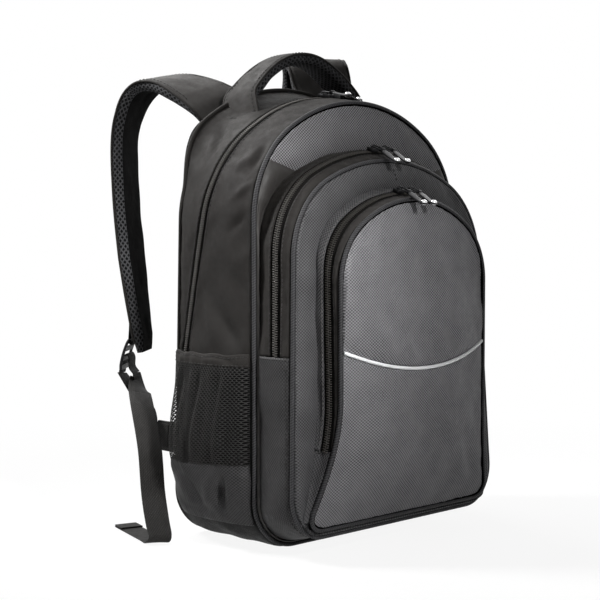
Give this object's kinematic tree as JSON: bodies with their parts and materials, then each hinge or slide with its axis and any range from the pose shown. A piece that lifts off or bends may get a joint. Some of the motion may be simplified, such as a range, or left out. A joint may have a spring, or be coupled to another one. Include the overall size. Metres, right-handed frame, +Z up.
{
  "type": "school backpack",
  "caption": "Arched school backpack with a main compartment, a middle and a front pocket, all zipped, mesh side pockets, a haul handle and padded shoulder straps on ladder-lock webbing.",
  "frame": {"origin": "middle of the flat base, on the floor", "axes": "+Z up, -Y out of the front pocket, +Y towards the wearer, +X to the right as seen from the front"},
  "size_m": [0.4114, 0.3581, 0.5273],
  "materials": {
    "textured_fabric": "dobby weave",
    "plain_fabric": "matt woven",
    "base_fabric": "smooth coated",
    "spacer_mesh": "open knit mesh",
    "piping": "matt woven tape",
    "reflective": "retroreflective satin",
    "zip_tape": "matt woven tape",
    "zip_coil": "satin",
    "gunmetal": "satin gunmetal",
    "webbing": "ribbed webbing",
    "moulded_plastic": "satin",
    "board": "matt"
  },
  "bodies": {
    "bag": {"back_panel": "spacer_mesh", "back_piping": "piping", "base_board": "board", "base_panel": "base_fabric", "front_gusset": "textured_fabric", "front_lower_panel": "textured_fabric", "front_piping": "piping", "front_side_gusset_left": "textured_fabric", "front_side_gusset_right": "textured_fabric", "front_upper_panel": "textured_fabric", "front_zip_coil": "zip_coil", "front_zip_tape": "zip_tape", "front_zip_welt": "textured_fabric", "lower_webbing_left": "webbing", "lower_webbing_right": "webbing", "main_front_panel": "textured_fabric", "main_gusset": "plain_fabric", "main_piping": "piping", "main_zip_coil": "zip_coil", "main_zip_tape": "zip_tape", "mid_front_panel": "textured_fabric", "mid_gusset": "plain_fabric", "mid_lower_gusset": "plain_fabric", "mid_piping": "piping", "mid_zip_coil": "zip_coil", "mid_zip_tape": "zip_tape", "mid_zip_welt": "textured_fabric", "rear_gusset": "plain_fabric", "reflective_piping": "reflective", "side_pocket_base_left": "textured_fabric", "side_pocket_base_right": "textured_fabric", "side_pocket_hem_left": "plain_fabric", "side_pocket_hem_right": "plain_fabric", "side_pocket_mesh_left": "spacer_mesh", "side_pocket_mesh_right": "spacer_mesh", "strap_anchor_left": "webbing", "strap_anchor_right": "webbing", "webbing_tail_left": "webbing", "webbing_tail_right": "webbing"},
    "handle": {"haul_handle": "plain_fabric"},
    "strap_left": {"shoulder_strap_left": "plain_fabric", "strap_webbing_loop_left": "webbing"},
    "lock_left": {"ladder_lock_left": "moulded_plastic"},
    "strap_right": {"shoulder_strap_right": "plain_fabric", "strap_webbing_loop_right": "webbing"},
    "lock_right": {"ladder_lock_right": "moulded_plastic"},
    "main_slider_left_body": {"main_slider_left": "gunmetal"},
    "main_pull_left_body": {"main_pull_left": "gunmetal"},
    "main_slider_right_body": {"main_slider_right": "gunmetal"},
    "main_pull_right_body": {"main_pull_right": "gunmetal"},
    "mid_slider_left_body": {"mid_slider_left": "gunmetal"},
    "mid_pull_left_body": {"mid_pull_left": "gunmetal"},
    "mid_slider_right_body": {"mid_slider_right": "gunmetal"},
    "mid_pull_right_body": {"mid_pull_right": "gunmetal"},
    "front_slider_left_body": {"front_slider_left": "gunmetal"},
    "front_pull_left_body": {"front_pull_left": "gunmetal"},
    "front_slider_right_body": {"front_slider_right": "gunmetal"},
    "front_pull_right_body": {"front_pull_right": "gunmetal"}
  },
  "joints": [
    {"name": "handle_fold", "type": "hinge", "parent": "bag", "child": "handle", "pos_m": [0, 0.03, 0.4665], "axis": [1, 0, 0], "range_deg": [-8, 30]},
    {"name": "strap_swing_left", "type": "hinge", "parent": "bag", "child": "strap_left", "pos_m": [-0.084, 0.056, 0.452], "axis": [0.9063, 0, 0.4226], "range_deg": [-10, 8], "deforming": ["lower_webbing_left", "webbing_tail_left"]},
    {"name": "lock_tilt_left", "type": "hinge", "parent": "strap_left", "child": "lock_left", "pos_m": [-0.12932, 0.15983, 0.20137], "axis": [0.8062, 0.5907, 0.0332], "range_deg": [-6, 30]},
    {"name": "strap_swing_right", "type": "hinge", "parent": "bag", "child": "strap_right", "pos_m": [0.084, 0.056, 0.452], "axis": [0.9903, 0, -0.1392], "range_deg": [-10, 8], "deforming": ["lower_webbing_right", "webbing_tail_right"]},
    {"name": "lock_tilt_right", "type": "hinge", "parent": "strap_right", "child": "lock_right", "pos_m": [0.12942, 0.15998, 0.2012], "axis": [0.806, -0.5911, -0.0329], "range_deg": [-6, 30]},
    {"name": "main_zip_run_left", "type": "hinge", "parent": "bag", "child": "main_slider_left_body", "pos_m": [0, -0.019, 0.27], "axis": [0, 1, 0], "range_deg": [-26, 0]},
    {"name": "main_pull_lift_left", "type": "hinge", "parent": "main_slider_left_body", "child": "main_pull_left_body", "pos_m": [-0.00852, -0.03194, 0.47324], "axis": [-0.9991, 0, -0.0419], "range_deg": [0, 115]},
    {"name": "main_zip_run_right", "type": "hinge", "parent": "bag", "child": "main_slider_right_body", "pos_m": [0, -0.019, 0.27], "axis": [0, 1, 0], "range_deg": [0, 26]},
    {"name": "main_pull_lift_right", "type": "hinge", "parent": "main_slider_right_body", "child": "main_pull_right_body", "pos_m": [0.02374, -0.01948, 0.47355], "axis": [-0.0032, -0.9971, -0.0761], "range_deg": [0, 115]},
    {"name": "mid_zip_run_left", "type": "hinge", "parent": "bag", "child": "mid_slider_left_body", "pos_m": [0, -0.09031, 0.1856], "axis": [0, 1, 0], "range_deg": [-18, 0]},
    {"name": "mid_pull_lift_left", "type": "hinge", "parent": "mid_slider_left_body", "child": "mid_pull_left_body", "pos_m": [-0.00857, -0.1042, 0.40868], "axis": [-0.9993, 0, -0.0384], "range_deg": [0, 115]},
    {"name": "mid_zip_run_right", "type": "hinge", "parent": "bag", "child": "mid_slider_right_body", "pos_m": [0, -0.09031, 0.1856], "axis": [0, 1, 0], "range_deg": [0, 18]},
    {"name": "mid_pull_lift_right", "type": "hinge", "parent": "mid_slider_right_body", "child": "mid_pull_right_body", "pos_m": [0.00857, -0.1042, 0.40868], "axis": [-0.9993, 0, 0.0384], "range_deg": [0, 115]},
    {"name": "front_zip_run_left", "type": "hinge", "parent": "bag", "child": "front_slider_left_body", "pos_m": [0, -0.12603, 0.2145], "axis": [0, 1, 0], "range_deg": [-24, 0]},
    {"name": "front_pull_lift_left", "type": "hinge", "parent": "front_slider_left_body", "child": "front_pull_left_body", "pos_m": [-0.00838, -0.13993, 0.36443], "axis": [-0.9984, 0, -0.0558], "range_deg": [0, 115]},
    {"name": "front_zip_run_right", "type": "hinge", "parent": "bag", "child": "front_slider_right_body", "pos_m": [0, -0.12603, 0.2145], "axis": [0, 1, 0], "range_deg": [0, 24]},
    {"name": "front_pull_lift_right", "type": "hinge", "parent": "front_slider_right_body", "child": "front_pull_right_body", "pos_m": [0.00838, -0.13993, 0.36443], "axis": [-0.9984, 0, 0.0558], "range_deg": [0, 115]}
  ]
}
